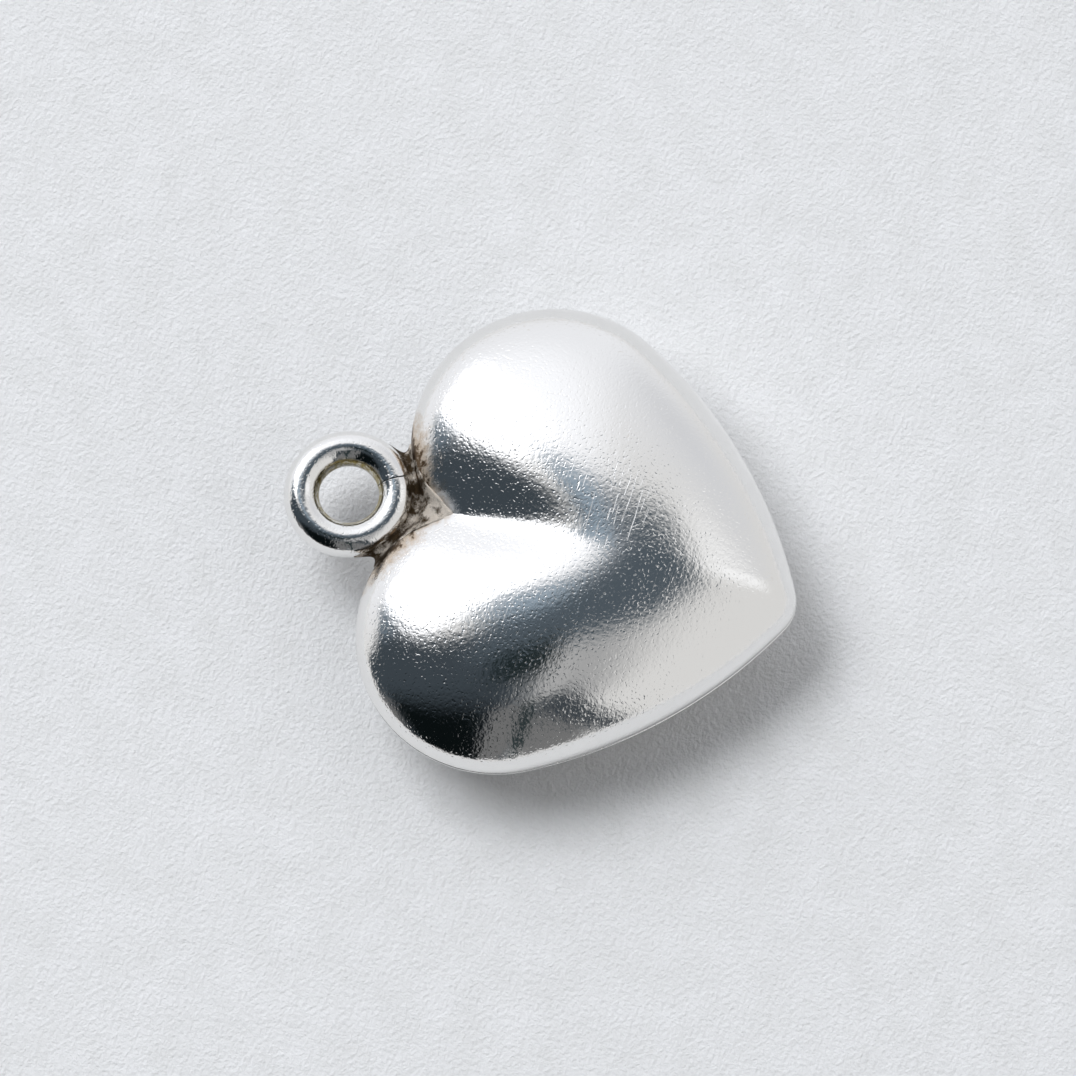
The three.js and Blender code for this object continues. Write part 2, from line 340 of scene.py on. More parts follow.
def clean_bevel():
    """After a bevel in edit mode, merge what it left on one point, and shade the piece smooth."""
    bpy.ops.mesh.select_all(action="SELECT")
    bpy.ops.mesh.remove_doubles(threshold=SAME_POINT)
    bpy.ops.mesh.dissolve_degenerate(threshold=SAME_POINT)
    bpy.ops.object.mode_set(mode="OBJECT")
    bpy.ops.object.shade_smooth_by_angle(angle=SMOOTH_BELOW)


def named(name):
    """The new primitive, renamed."""
    piece = bpy.context.object
    piece.name = name
    piece.data.name = name
    return piece


def dress(piece, node, material):
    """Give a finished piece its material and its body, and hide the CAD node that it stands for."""
    piece.data.materials.clear()
    piece.data.materials.append(material)
    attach(piece, "root")
    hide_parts(node)


def add_node(tree, kind, inputs=None, **settings):
    """Add a node with its settings; each input is given a value or the socket that feeds it."""
    made = tree.nodes.new(kind)
    for key, value in settings.items():
        setattr(made, key, value)
    for key, value in (inputs or {}).items():
        if isinstance(value, bpy.types.NodeSocket):
            tree.links.new(value, made.inputs[key])
        else:
            made.inputs[key].default_value = value
    return made


def new_material(name):
    """Empty material with its output node."""
    material = bpy.data.materials.new(name)
    material.use_nodes = True
    material.node_tree.nodes.clear()
    return material, material.node_tree, add_node(material.node_tree, "ShaderNodeOutputMaterial")


def plan_distance(tree, place, centre):
    """Distance from a point as seen from above, whatever the height."""
    away = add_node(tree, "ShaderNodeMapping", {
        "Vector": place, "Location": (-centre.x, -centre.y, 0), "Scale": (1, 1, 0)})
    return add_node(tree, "ShaderNodeVectorMath", {0: away.outputs[0]}, operation="LENGTH").outputs["Value"]


def tumbled_silver(name, finishes, heart, ring, stain_reach):
    """Sterling silver, pressed or bent, then tumbled with steel shot and worn: bright, with a fine pebbled
    grain that breaks the edges of reflections, small pits that sparkle in the dark ones, a patch of hairline
    scratches, brown tarnish and a satin bloom near the ring's solder, and a golden film inside its hole."""
    material, tree, out = new_material(name)
    place = add_node(tree, "ShaderNodeTexCoord").outputs["Object"]
    from_ring = plan_distance(tree, place, ring.centre)

    # Brown stain: thick where ring and lobes meet, thinning out over their flanks
    mirrored = add_node(tree, "ShaderNodeVectorMath", {0: place}, operation="ABSOLUTE").outputs[0]
    from_lobe = plan_distance(tree, mirrored, heart.lobe)
    ring_gap = add_node(tree, "ShaderNodeMath", {
        0: from_ring, 1: ring.outer}, operation="SUBTRACT").outputs[0]
    lobe_gap = add_node(tree, "ShaderNodeMath", {
        0: from_lobe, 1: heart.sizes.lobe_radius}, operation="SUBTRACT").outputs[0]
    gap = add_node(tree, "ShaderNodeMath", {0: ring_gap, 1: lobe_gap}, operation="MAXIMUM").outputs[0]
    blotch = add_node(tree, "ShaderNodeTexNoise", {
        "Vector": place, "Scale": 1 / (0.4 * MM), "Detail": 5.0, "Roughness": 0.7}).outputs["Fac"]
    height = add_node(tree, "ShaderNodeSeparateXYZ", {0: place}).outputs["Z"]
    risen = add_node(tree, "ShaderNodeMath", {
        0: height, 1: heart.seam_height}, operation="SUBTRACT").outputs[0]
    off_seam = add_node(tree, "ShaderNodeMath", {0: risen}, operation="ABSOLUTE").outputs[0]
    away = add_node(tree, "ShaderNodeMath", {
        0: off_seam, 1: 0.7, 2: gap}, operation="MULTIPLY_ADD").outputs[0]
    near = add_node(tree, "ShaderNodeMapRange", {
        "Value": away, "From Min": stain_reach, "From Max": 0.0}).outputs[0]
    # The stain also rings the solder pool
    round_pool = add_node(tree, "ShaderNodeVectorMath", {
        0: place, 1: ring.pool}, operation="DISTANCE").outputs["Value"]
    at_pool = add_node(tree, "ShaderNodeMapRange", {
        "Value": round_pool, "From Min": ring.sizes.pool_radius + 0.75 * MM,
        "From Max": ring.sizes.pool_radius - 0.1 * MM, "To Max": 0.75}).outputs[0]
    near = add_node(tree, "ShaderNodeMath", {0: near, 1: at_pool}, operation="MAXIMUM").outputs[0]
    spread = add_node(tree, "ShaderNodeMath", {0: near, 1: blotch}, operation="ADD").outputs[0]
    film = add_node(tree, "ShaderNodeMapRange", {
        "Value": spread, "From Min": 0.65, "From Max": 1.0}).outputs[0]
    crust = add_node(tree, "ShaderNodeMapRange", {
        "Value": spread, "From Min": 1.0, "From Max": 1.14}, interpolation_type="SMOOTHSTEP").outputs[0]
    tint = add_node(tree, "ShaderNodeMix", {
        0: film, 6: finishes.silver, 7: finishes.film}, data_type="RGBA").outputs[2]
    tint = add_node(tree, "ShaderNodeMix", {
        0: crust, 6: tint, 7: finishes.stain}, data_type="RGBA").outputs[2]

    # Golden tarnish that the polishing never reached, inside the hole
    hole = add_node(tree, "ShaderNodeMapRange", {
        "Value": from_ring, "From Min": ring.outer - ring.sizes.wire + 0.26 * MM,
        "From Max": ring.outer - ring.sizes.wire + 0.08 * MM}, interpolation_type="SMOOTHSTEP").outputs[0]
    patchy = add_node(tree, "ShaderNodeMapRange", {
        "Value": blotch, "From Min": 0.3, "From Max": 0.55}).outputs[0]
    golden = add_node(tree, "ShaderNodeMath", {0: hole, 1: patchy}, operation="MULTIPLY").outputs[0]
    tint = add_node(tree, "ShaderNodeMix", {
        0: golden, 6: tint, 7: finishes.gold_tint}, data_type="RGBA").outputs[2]

    # Pebbled grain of the tumbled sheet, and sparse pits
    grain = add_node(tree, "ShaderNodeTexNoise", {
        "Vector": place, "Scale": 1 / (0.17 * MM), "Detail": 1.0}).outputs["Fac"]
    pebbled = add_node(tree, "ShaderNodeBump", {"Height": grain, "Distance": 0.006 * MM}).outputs["Normal"]
    specks = add_node(tree, "ShaderNodeTexNoise", {
        "Vector": place, "Scale": 1 / (0.1 * MM), "Detail": 0.0}).outputs["Fac"]
    pits = add_node(tree, "ShaderNodeMapRange", {
        "Value": specks, "From Min": 0.62, "From Max": 0.9}).outputs[0]
    pitted = add_node(tree, "ShaderNodeBump", {
        "Height": pits, "Distance": 0.0055 * MM, "Normal": pebbled}, invert=True).outputs["Normal"]

    # Patch of hairline scratches beside the crown, drawn three times as wide as real ones so that they show
    off_patch = plan_distance(tree, place, heart.crown + Vector((1.6 * MM, -0.6 * MM)))
    in_patch = add_node(tree, "ShaderNodeMapRange", {
        "Value": off_patch, "From Min": 2.2 * MM, "From Max": 1.0 * MM, "To Min": 0.1}).outputs[0]
    strokes = add_node(tree, "ShaderNodeMapping", {
        "Vector": place, "Rotation": (0, 0, radians(8)),
        "Scale": (1 / (1.2 * MM), 1 / (0.08 * MM), 1 / (2.0 * MM))}).outputs[0]
    lines = add_node(tree, "ShaderNodeTexNoise", {
        "Vector": strokes, "Scale": 1.0, "Detail": 0.0}).outputs["Fac"]
    fine = add_node(tree, "ShaderNodeMapRange", {
        "Value": lines, "From Min": 0.68, "From Max": 0.74}).outputs[0]
    deep = add_node(tree, "ShaderNodeMath", {0: fine, 1: in_patch}, operation="MULTIPLY").outputs[0]
    scratched = add_node(tree, "ShaderNodeBump", {
        "Height": deep, "Distance": 0.006 * MM, "Normal": pitted}, invert=True).outputs["Normal"]

    # Satin bloom that the soldering heat left round the pool, over the dulling by the film
    ragged = add_node(tree, "ShaderNodeMath", {
        0: blotch, 1: 0.7 * MM, 2: round_pool}, operation="MULTIPLY_ADD").outputs[0]
    bloom = add_node(tree, "ShaderNodeMapRange", {
        "Value": ragged, "From Min": ring.sizes.pool_radius + 0.48 * stain_reach,
        "From Max": ring.sizes.pool_radius + 0.32 * stain_reach, "To Max": 0.5}).outputs[0]
    dulled = add_node(tree, "ShaderNodeMapRange", {
        "Value": film, "To Min": 0.09, "To Max": 0.32}).outputs[0]
    dulled = add_node(tree, "ShaderNodeMath", {0: dulled, 1: bloom}, operation="MAXIMUM").outputs[0]
    shader = add_node(tree, "ShaderNodeBsdfPrincipled", {
        "Base Color": tint, "Metallic": 1.0, "Roughness": dulled, "Normal": scratched})
    tree.links.new(shader.outputs["BSDF"], out.inputs["Surface"])
    return material


def tarnished_solder(name, finishes, ring):
    """Silver solder left as it flowed: lumpy and mottled, dark brown, darker in the corner along the ring
    and paler towards the lobes, with rubbed bright patches."""
    material, tree, out = new_material(name)
    place = add_node(tree, "ShaderNodeTexCoord").outputs["Object"]
    from_ring = plan_distance(tree, place, ring.centre)
    # Darker in the corner along the ring, paler towards the lobes
    away = add_node(tree, "ShaderNodeMapRange", {
        "Value": from_ring, "From Min": ring.outer - 0.12 * MM, "From Max": ring.outer + 0.8 * MM,
        "To Min": -0.26, "To Max": -0.06}).outputs[0]
    lumps = add_node(tree, "ShaderNodeTexNoise", {
        "Vector": place, "Scale": 1 / (0.17 * MM), "Detail": 5.0, "Roughness": 0.8}).outputs["Fac"]
    patches = add_node(tree, "ShaderNodeTexNoise", {
        "Vector": place, "Scale": 1 / (0.55 * MM), "Detail": 1.0}).outputs["Fac"]
    rubbed = add_node(tree, "ShaderNodeMath", {
        0: patches, 1: 0.95, 2: away}, operation="MULTIPLY_ADD").outputs[0]
    rubbed = add_node(tree, "ShaderNodeMath", {0: rubbed, 1: lumps}, operation="ADD").outputs[0]
    bare = add_node(tree, "ShaderNodeMapRange", {
        "Value": rubbed, "From Min": 0.7, "From Max": 1.03}, interpolation_type="SMOOTHSTEP").outputs[0]
    tint = add_node(tree, "ShaderNodeMix", {
        0: bare, 6: finishes.solder, 7: finishes.solder_bare}, data_type="RGBA").outputs[2]
    bump = add_node(tree, "ShaderNodeBump", {"Height": lumps, "Distance": 0.06 * MM}).outputs["Normal"]
    dull = add_node(tree, "ShaderNodeMapRange", {"Value": bare, "To Min": 0.5, "To Max": 0.34}).outputs[0]
    shader = add_node(tree, "ShaderNodeBsdfPrincipled", {
        "Base Color": tint, "Metallic": 0.9, "Roughness": dull, "Normal": bump})
    tree.links.new(shader.outputs["BSDF"], out.inputs["Surface"])
    return material


def satin_solder(name, finishes):
    """Hard silver solder, wiped back almost level with the silver: a duller line with specks of brown."""
    material, tree, out = new_material(name)
    place = add_node(tree, "ShaderNodeTexCoord").outputs["Object"]
    grain = add_node(tree, "ShaderNodeTexNoise", {
        "Vector": place, "Scale": 1 / (0.15 * MM), "Detail": 3.0}).outputs["Fac"]
    specks = add_node(tree, "ShaderNodeMapRange", {
        "Value": grain, "From Min": 0.52, "From Max": 0.66}).outputs[0]
    tint = add_node(tree, "ShaderNodeMix", {
        0: specks, 6: finishes.seam, 7: finishes.stain}, data_type="RGBA").outputs[2]
    bump = add_node(tree, "ShaderNodeBump", {"Height": grain, "Distance": 0.02 * MM}).outputs["Normal"]
    shader = add_node(tree, "ShaderNodeBsdfPrincipled", {
        "Base Color": tint, "Metallic": 1.0, "Roughness": 0.3, "Normal": bump})
    tree.links.new(shader.outputs["BSDF"], out.inputs["Surface"])
    return material


def wiped_solder(name, finishes, ring):
    """Hard silver solder, filed level with the wire: as bright as the silver, with a ragged brown line where
    the wire's two ends met."""
    material, tree, out = new_material(name)
    place = add_node(tree, "ShaderNodeTexCoord").outputs["Object"]
    turned = add_node(tree, "ShaderNodeMapping", {
        "Vector": place, "Location": (ring.centre.x, ring.centre.y, 0), "Rotation": (0, 0, ring.butt)},
        vector_type="TEXTURE").outputs[0]
    across = add_node(tree, "ShaderNodeSeparateXYZ", {0: turned}).outputs["Y"]
    ragged = add_node(tree, "ShaderNodeTexNoise", {
        "Vector": place, "Scale": 1 / (0.12 * MM), "Detail": 3.0}).outputs["Fac"]
    sway = add_node(tree, "ShaderNodeMapRange", {
        "Value": ragged, "From Min": 0.3, "From Max": 0.7,
        "To Min": -0.09 * MM, "To Max": 0.09 * MM}).outputs[0]
    line = add_node(tree, "ShaderNodeMath", {0: across, 1: sway}, operation="SUBTRACT").outputs[0]
    off_line = add_node(tree, "ShaderNodeMath", {0: line}, operation="ABSOLUTE").outputs[0]
    mark = add_node(tree, "ShaderNodeMapRange", {
        "Value": off_line, "From Min": 0.035 * MM, "From Max": 0.01 * MM, "To Max": 0.5}).outputs[0]
    tint = add_node(tree, "ShaderNodeMix", {
        0: mark, 6: finishes.silver, 7: finishes.stain}, data_type="RGBA").outputs[2]
    groove = add_node(tree, "ShaderNodeBump", {
        "Height": mark, "Distance": 0.01 * MM}, invert=True).outputs["Normal"]
    shader = add_node(tree, "ShaderNodeBsdfPrincipled", {
        "Base Color": tint, "Metallic": 1.0, "Roughness": 0.16, "Normal": groove})
    tree.links.new(shader.outputs["BSDF"], out.inputs["Surface"])
    return material


def drawing_paper(finishes):
    """Uncoated white drawing paper: matt, faintly cool, with a fine tooth and slightly cloudy pulp."""
    material, tree, out = new_material("drawing_paper")
    place = add_node(tree, "ShaderNodeTexCoord").outputs["Object"]
    tooth = add_node(tree, "ShaderNodeTexNoise", {
        "Vector": place, "Scale": 1 / (0.2 * MM), "Detail": 3.0, "Roughness": 0.6}).outputs["Fac"]
    bump = add_node(tree, "ShaderNodeBump", {"Height": tooth, "Distance": 0.09 * MM}).outputs["Normal"]
    cloud = add_node(tree, "ShaderNodeTexNoise", {
        "Vector": place, "Scale": 1 / (1.6 * MM), "Detail": 5.0, "Roughness": 0.7}).outputs["Fac"]
    shade = add_node(tree, "ShaderNodeMapRange", {
        "Value": cloud, "From Min": 0.3, "From Max": 0.7}).outputs[0]
    tint = add_node(tree, "ShaderNodeMix", {
        0: shade, 6: finishes.paper_shade, 7: finishes.paper}, data_type="RGBA").outputs[2]
    shader = add_node(tree, "ShaderNodeBsdfPrincipled", {
        "Base Color": tint, "Roughness": 0.9, "Specular IOR Level": 0.2, "Normal": bump})
    tree.links.new(shader.outputs["BSDF"], out.inputs["Surface"])
    return material


class StudioPanel(NamedTuple):
    """Rectangle of the studio as the pendant sees it when looking straight up: degrees from overhead towards
    the right and the top of the picture, size and turn in degrees, the degrees that each edge fades over
    to both sides, and its light."""

    name: str
    right: float
    top: float
    width: float
    height: float
    turn: float
    fade: float
    light: float
    tint: tuple


DAYLIGHT = (0.98, 1.0, 1.05)
NEUTRAL = (0.99, 1.0, 1.02)
COOL = (0.78, 1.0, 1.22)
LAMP_TINT = (0.96, 0.98, 1.0)
TEAL = (0.6, 1.0, 1.1)

# Degrees from overhead at which the tent begins to fade, and has faded, into the paper's far edge
HORIZON = (84, 89)

# White tent all round, open to a dark room at the lower left; later panels stand in front of earlier ones
TENT = 0.74
PANELS = (
    StudioPanel("bright top of the tent", -25, 60, 140, 60, 10, 25, 0.92, DAYLIGHT),
    StudioPanel("shaded fold of the tent", 40, 45, 40, 30, -30, 15, 0.70, DAYLIGHT),
    StudioPanel("sheen of the tent", 42, 15, 26, 14, 0, 8, 1.02, NEUTRAL),
    StudioPanel("dark room", -42, -45, 84, 104, 0, 5, 0.06, COOL),
    StudioPanel("slanted side of the room", -54, -4, 48, 40, 47, 7, 0.06, COOL),
    StudioPanel("grey side of the room", -78, -42, 22, 40, -20, 8, 0.15, NEUTRAL),
    StudioPanel("black of the room", -39, -52, 50, 66, 0, 10, 0.005, TEAL),
    StudioPanel("grey slope", 10, -18, 26, 36, 0, 12, 0.40, NEUTRAL),
    StudioPanel("overhead bar", 2, 8, 46, 26, -2, 5, 0.10, COOL),
    StudioPanel("middle of the bar", -9, -7, 16, 10, 0, 4, 0.02, TEAL),
    StudioPanel("softbox's spill", -22, 38, 46, 34, 0, 14, 1.12, DAYLIGHT),
    StudioPanel("dim edge beside the softbox", -54, 23, 12, 18, 0, 5, 0.18, COOL),
    StudioPanel("softbox's lower glow", -13, 15, 16, 8, 0, 7, 0.40, COOL),
    StudioPanel("softbox", -35, 32, 28, 30, 45, 7, 2.2, DAYLIGHT),
    StudioPanel("front grey", 16, -66, 22, 74, 22, 3, 0.18, NEUTRAL),
    StudioPanel("front post", -11, -62, 15, 76, -6, 2, 0.17, NEUTRAL),
    StudioPanel("gap beside the front post", 2, -60, 6, 72, 8, 2, 0.03, TEAL),
    StudioPanel("right post", 26, -56, 9, 78, 37, 4, 0.05, COOL),
)


def paint_surroundings(world, east, north, finishes):
    """Plain studio painted on the world: panels for what the silver mirrors, over a pale paper horizon."""
    world.use_nodes = True
    tree = world.node_tree
    tree.nodes.clear()

    # Direction of view laid flat: its angle from overhead, towards the right and the top of the picture
    look = add_node(tree, "ShaderNodeTexCoord").outputs["Generated"]
    height = add_node(tree, "ShaderNodeSeparateXYZ", {0: look}).outputs["Z"]
    from_top = add_node(tree, "ShaderNodeMath", {0: height}, operation="ARCCOSINE").outputs[0]
    flat = add_node(tree, "ShaderNodeMath", {0: from_top}, operation="SINE").outputs[0]
    safe = add_node(tree, "ShaderNodeMath", {0: flat, 1: NEARLY_ZERO}, operation="MAXIMUM").outputs[0]
    spread = add_node(tree, "ShaderNodeMath", {0: from_top, 1: safe}, operation="DIVIDE").outputs[0]
    to_right = add_node(tree, "ShaderNodeVectorMath", {0: look, 1: east}, operation="DOT_PRODUCT")
    to_top = add_node(tree, "ShaderNodeVectorMath", {0: look, 1: north}, operation="DOT_PRODUCT")
    flat_place = add_node(tree, "ShaderNodeCombineXYZ", {
        "X": to_right.outputs["Value"], "Y": to_top.outputs["Value"]}).outputs[0]
    place = add_node(tree, "ShaderNodeVectorMath", {
        0: flat_place, "Scale": spread}, operation="SCALE").outputs[0]

    # Panels laid over each other
    paint = (TENT, TENT, TENT, 1)
    for panel in PANELS:
        local = add_node(tree, "ShaderNodeMapping", {
            "Vector": place,
            "Location": (radians(panel.right), radians(panel.top), 0),
            "Rotation": (0, 0, radians(panel.turn))}, vector_type="TEXTURE", label=panel.name)
        away = add_node(tree, "ShaderNodeVectorMath", {0: local.outputs[0]}, operation="ABSOLUTE")
        sides = add_node(tree, "ShaderNodeSeparateXYZ", {0: away.outputs[0]})
        within = [
            add_node(tree, "ShaderNodeMapRange", {
                "Value": sides.outputs[axis],
                "From Min": radians(size / 2 + panel.fade), "From Max": radians(size / 2 - panel.fade)},
                interpolation_type="SMOOTHSTEP").outputs[0]
            for axis, size in (("X", panel.width), ("Y", panel.height))]
        cover = add_node(tree, "ShaderNodeMath", {0: within[0], 1: within[1]}, operation="MULTIPLY")
        shade = [panel.light * part for part in panel.tint]
        paint = add_node(tree, "ShaderNodeMix", {
            0: cover.outputs[0], 6: paint, 7: (*shade, 1)}, data_type="RGBA").outputs[2]

    # Paper's far edge
    horizon = add_node(tree, "ShaderNodeMapRange", {
        "Value": from_top, "From Min": radians(HORIZON[0]), "From Max": radians(HORIZON[1])},
        interpolation_type="SMOOTHSTEP")
    painted = add_node(tree, "ShaderNodeMix", {
        0: horizon.outputs[0], 6: paint, 7: finishes.paper}, data_type="RGBA")
    glow = add_node(tree, "ShaderNodeBackground", {"Color": painted.outputs[2], "Strength": 1.0})
    add_node(tree, "ShaderNodeOutputWorld", {"Surface": glow.outputs[0]})


class PENDANT_OT_set_stage(bpy.types.Operator):
    """Lay the paper, set the light and place the camera"""

    bl_idname = "pendant.set_stage"
    bl_label = "Set the stage"

    def execute(self, context):
        scene = context.scene
        stage = scene.pendant_stage
        finishes = scene.pendant_finishes
        self.lay_paper(stage, finishes)
        right = self.place_camera(scene, stage)
        east = Vector((right.x, right.y, 0)).normalized()
        north = Vector((-east.y, east.x, 0))
        scene.world = bpy.data.worlds.new("studio")
        paint_surroundings(scene.world, east, north, finishes)
        self.hang_lamp(scene, stage, east, north)
        scene.view_settings.view_transform = "Standard"
        return {"FINISHED"}

    def lay_paper(self, stage, finishes):
        """A sheet of paper, far larger than the picture."""
        fresh_start()
        bpy.ops.mesh.primitive_plane_add(size=stage.paper_side)
        paper = named("paper")
        paper.data.materials.append(drawing_paper(finishes))

    def place_camera(self, scene, stage):
        """The camera, aimed near the middle of the heart. Returns the direction of the picture's right."""
        back = Vector((
            sin(stage.azimuth) * cos(stage.elevation),
            -cos(stage.azimuth) * cos(stage.elevation),
            sin(stage.elevation)))
        level = Vector((0, 0, 1)).cross(back).normalized()
        right = Matrix.Rotation(stage.roll, 3, back) @ level
        up = back.cross(right)
        heart = Heart(scene.pendant_heart)
        aim = Vector((
            stage.aim_aside, heart.tip.y + stage.aim_from_tip, heart.seam_height + stage.aim_above_seam))
        camera_data = bpy.data.cameras.new("camera")
        camera_data.sensor_width = 36.0
        camera_data.lens = stage.lens
        camera_data.clip_start = 0.01
        camera_data.clip_end = 10.0
        camera = bpy.data.objects.new("camera", camera_data)
        scene.collection.objects.link(camera)
        turned = Matrix((right, up, back)).transposed().to_4x4()
        camera.matrix_world = Matrix.Translation(aim + back * stage.distance) @ turned
        scene.camera = camera
        return right

    def hang_lamp(self, scene, stage, east, north):
        """The large lamp. The silver doesn't mirror it, but the softbox painted on the surroundings."""
        lamp_data = bpy.data.lights.new("key_lamp", "AREA")
        lamp_data.shape = "RECTANGLE"
        lamp_data.size = stage.lamp_width
        lamp_data.size_y = stage.lamp_depth
        lamp_data.energy = stage.lamp_power
        lamp_data.color = LAMP_TINT
        lamp = bpy.data.objects.new("key_lamp", lamp_data)
        scene.collection.objects.link(lamp)
        lean = north * stage.lamp_to_top - east * stage.lamp_to_left
        toward = (lean + Vector((0, 0, 1))).normalized()
        lamp.location = toward * stage.lamp_distance
        lamp.rotation_euler = toward.to_track_quat("Z", "Y").to_euler()
        lamp.visible_camera = False
        lamp.visible_glossy = False


class PENDANT_OT_press_halves(bpy.types.Operator):
    """Press the two domed halves of the heart and round their rims"""

    bl_idname = "pendant.press_halves"
    bl_label = "Press the two halves"

    def execute(self, context):
        heart = Heart(context.scene.pendant_heart)
        ring = Ring(context.scene.pendant_ring, heart)
        silver = tumbled_silver(
            "tumbled_silver", context.scene.pendant_finishes, heart, ring, ring.sizes.heart_stain)
        for name, node, side in (("front_half", "front_shell", 1), ("back_half", "back_shell", -1)):
            piece = self.press(name, heart, side)
            dress(piece, node, silver)
        return {"FINISHED"}

    def press(self, name, heart, side):
        """One half: an arc spun to a ball's cap, drawn to the heart, given its sheet and a round rim."""
        sizes = heart.sizes
        fresh_start()
        bpy.ops.mesh.primitive_circle_add(vertices=4 * DOME_ROWS, radius=1.0, rotation=(pi / 2, 0, 0))
        piece = named(name)
        bpy.ops.object.transform_apply(location=True, rotation=True, scale=True)
        pick(piece, "VERT", lambda vertex: min(vertex.co.x, vertex.co.z) < -NEARLY_ZERO)
        bpy.ops.mesh.delete(type="VERT")
        bpy.ops.mesh.select_all(action="SELECT")
        bpy.ops.mesh.spin(steps=SPOKES, angle=2 * pi, center=(0, 0, 0), axis=(0, 0, 1))
        bpy.ops.mesh.select_all(action="SELECT")
        bpy.ops.mesh.remove_doubles(threshold=NEARLY_ZERO)
        bpy.ops.mesh.normals_make_consistent(inside=False)
        bpy.ops.object.mode_set(mode="OBJECT")
        outward = piece.data.polygons[0].normal.dot(piece.data.polygons[0].center)
        if outward * side < 0:
            bpy.ops.object.mode_set(mode="EDIT")
            bpy.ops.mesh.flip_normals()
            bpy.ops.object.mode_set(mode="OBJECT")
        rim = set()
        for vertex in piece.data.vertices:
            ball = vertex.co
            tilt = asin(max(0.0, min(1.0, ball.z)))
            if tilt < NEARLY_ZERO:
                tilt = 0.0
                rim.add(vertex.index)
            point = heart.dome_point(crowded(atan2(ball.y, ball.x)), tilt)
            vertex.co = (point.x, point.y, heart.seam_height + side * point.z)
        thicken(piece, sizes.sheet, -1.0)
        pick(piece, "EDGE", lambda edge: edge.vertices[0] in rim and edge.vertices[1] in rim)
        bpy.ops.mesh.bevel(offset=sizes.rim_round, segments=RIM_SEGMENTS, affect="EDGES", clamp_overlap=True)
        clean_bevel()
        return piece


class PENDANT_OT_solder_seam(bpy.types.Operator):
    """Run the thin line of solder between the two rims"""

    bl_idname = "pendant.solder_seam"
    bl_label = "Solder the seam"

    # Slow waves in the solder's edge: how tightly they follow each other, and their share of the recess
    waviness = 9
    wave_share = 0.4

    def execute(self, context):
        heart = Heart(context.scene.pendant_heart)
        sizes = heart.sizes
        fresh_start()
        bpy.ops.mesh.primitive_circle_add(vertices=SPOKES, radius=1.0)
        piece = named("seam_line")
        bearings = [crowded(atan2(v.co.y, v.co.x)) for v in piece.data.vertices]
        bpy.ops.object.mode_set(mode="EDIT")
        bpy.ops.mesh.select_all(action="SELECT")
        bpy.ops.mesh.extrude_region_move()
        bpy.ops.object.mode_set(mode="OBJECT")
        # The inner circle's points follow the outer one's, in the same order
        for vertex in piece.data.vertices:
            bearing = bearings[vertex.index % SPOKES]
            outer = vertex.index < SPOKES
            wave = noise.noise(self.waviness * Vector((cos(bearing), sin(bearing), 0.0)))
            offset = -sizes.seam_recess * (1 + self.wave_share * wave) if outer else -sizes.sheet
            point = heart.rim_point(bearing, offset)
            vertex.co = (point.x, point.y, heart.seam_height)
        thicken(piece, sizes.seam_gap, 0.0)
        bpy.ops.object.mode_set(mode="EDIT")
        bpy.ops.mesh.select_all(action="SELECT")
        bpy.ops.mesh.normals_make_consistent(inside=False)
        bpy.ops.object.mode_set(mode="OBJECT")
        bpy.ops.object.shade_smooth_by_angle(angle=SMOOTH_BELOW)
        dress(piece, "seam_solder",
              satin_solder("satin_seam_solder", context.scene.pendant_finishes))
        return {"FINISHED"}


def bend_wire(name, ring, height, radius, start, end, steps, end_round):
    """Round wire bent along the ring between two angles, with closed and rounded ends."""
    fresh_start()
    place = ring.centre + ring.line * Vector((cos(start), sin(start)))
    bpy.ops.mesh.primitive_circle_add(
        vertices=WIRE_SIDES, radius=radius, location=(place.x, place.y, height),
        rotation=(pi / 2, 0, start))
    piece = named(name)
    bpy.ops.object.transform_apply(location=True, rotation=True, scale=True)
    bpy.ops.object.mode_set(mode="EDIT")
    bpy.ops.mesh.select_all(action="SELECT")
    bpy.ops.mesh.spin(
        steps=steps, angle=end - start, center=(ring.centre.x, ring.centre.y, height), axis=(0, 0, 1))
    bpy.ops.mesh.select_all(action="SELECT")
    bpy.ops.mesh.fill_holes(sides=0)
    bpy.ops.mesh.normals_make_consistent(inside=False)
    bpy.ops.object.mode_set(mode="OBJECT")
    ends = [face for face in piece.data.polygons if len(face.vertices) == WIRE_SIDES]
    if len(ends) != 2:
        raise RuntimeError(f"{name} should have two closed ends, but has {len(ends)}")
    rims = {tuple(sorted(key)) for face in ends for key in face.edge_keys}
    pick(piece, "EDGE", lambda edge: tuple(sorted(edge.vertices)) in rims)
    bpy.ops.mesh.bevel(offset=end_round, segments=END_SEGMENTS, affect="EDGES", clamp_overlap=True)
    clean_bevel()
    return piece


class PENDANT_OT_bend_ring(bpy.types.Operator):
    """Bend the wire ring that the pendant hangs on"""

    bl_idname = "pendant.bend_ring"
    bl_label = "Bend the hanging ring"

    def execute(self, context):
        scene = context.scene
        heart = Heart(scene.pendant_heart)
        ring = Ring(scene.pendant_ring, heart)
        sizes = ring.sizes
        piece = bend_wire(
            "hanging_wire_ring", ring, heart.seam_height, sizes.wire / 2,
            ring.butt + ring.half_butt, ring.butt - ring.half_butt + 2 * pi, RING_STEPS, sizes.end_round)
        dress(piece, "hanging_ring",
              tumbled_silver("tumbled_silver_wire", scene.pendant_finishes, heart, ring, sizes.ring_stain))
        return {"FINISHED"}


